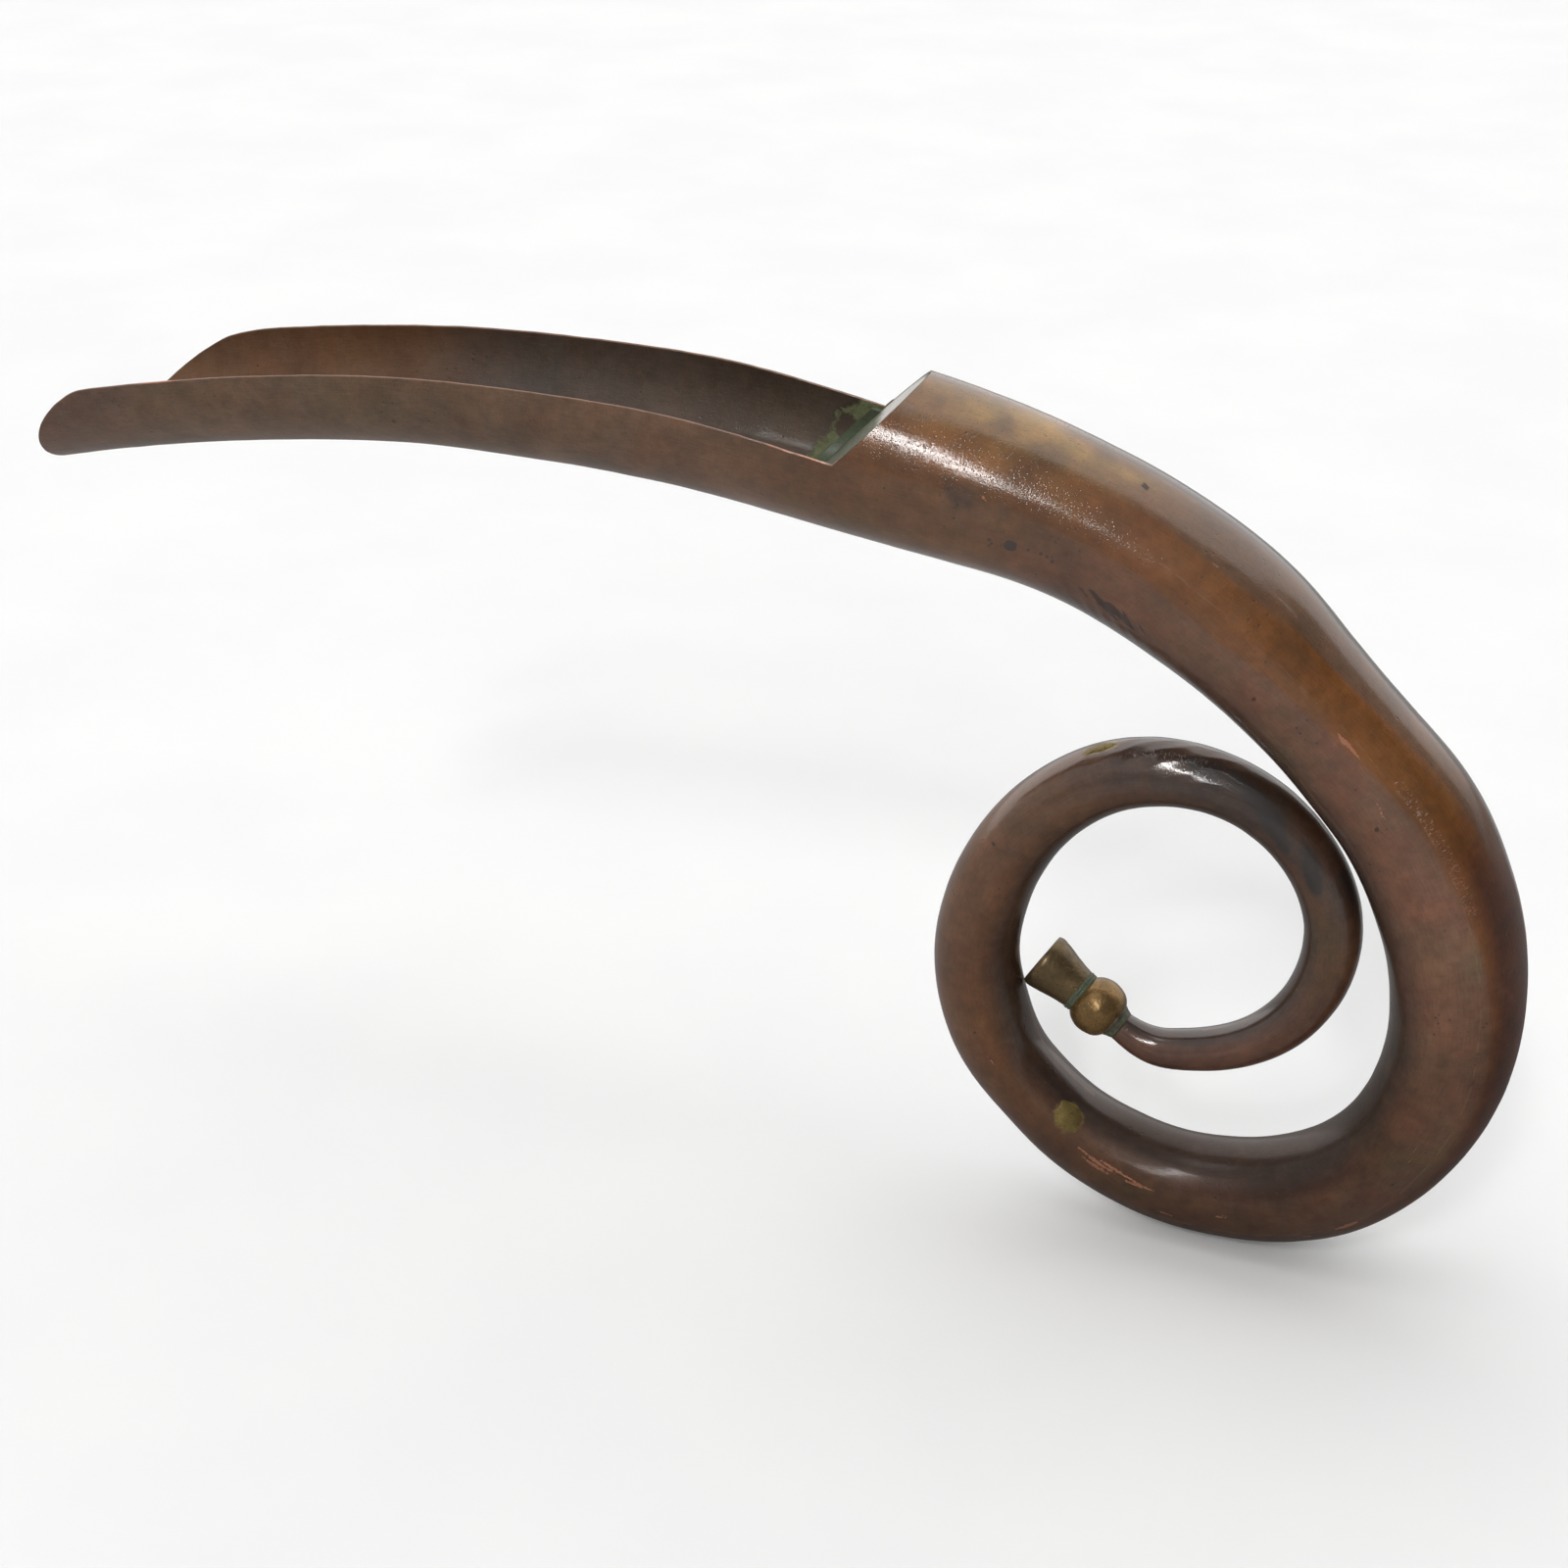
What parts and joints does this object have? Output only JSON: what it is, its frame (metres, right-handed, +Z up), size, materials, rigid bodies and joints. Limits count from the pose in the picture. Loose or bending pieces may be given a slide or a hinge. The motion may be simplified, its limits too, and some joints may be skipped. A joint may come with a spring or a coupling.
{
  "type": "coiled copper bugle horn",
  "caption": "Coiled conical copper horn with a cup and ball mouthpiece, its wide end cut open into a long rounded trough behind a soldered end plate.",
  "frame": {"origin": "centre of the bounding box in X, on the symmetry plane of the tube in Y, and level with the lowest point of the coil in Z", "axes": "+X along the horn from the trough tip towards the coil, +Z up, +Y away from the front side, with the coil lying in the XZ plane"},
  "size_m": [0.447, 0.0535, 0.259],
  "materials": {
    "bell_section": "tarnished copper, glossy, rubbed",
    "middle_coil_tube": "tarnished copper, glossy, rubbed",
    "inner_coil_tube": "tarnished copper with dark heat tarnish",
    "seam_brass": "brazing brass, tarnished",
    "sleeve": "plain drawn brass, hidden",
    "braze_patch": "yellow brazing brass",
    "end_plate": "dull tinned copper sheet",
    "solder": "soft solder with green verdigris",
    "mouthpiece_brass": "olive-brown turned brass",
    "collar": "grey-green soldered brass"
  },
  "bodies": {
    "root": {"bell_section": "bell_section", "bell_seam_braze": "seam_brass", "middle_coil_tube": "middle_coil_tube", "middle_coil_seam_braze": "seam_brass", "inner_coil_tube": "inner_coil_tube", "inner_coil_seam_braze": "seam_brass", "lower_joint_sleeve": "sleeve", "upper_joint_sleeve": "sleeve", "lower_braze_patch": "braze_patch", "upper_braze_patch": "braze_patch", "end_plate": "end_plate", "end_plate_solder": "solder", "mouthpiece_cup": "mouthpiece_brass", "mouthpiece_knop": "mouthpiece_brass", "mouthpiece_stem": "mouthpiece_brass", "mouthpiece_collar": "collar", "cup_solder_ring": "solder", "stem_solder": "solder"}
  },
  "joints": []
}
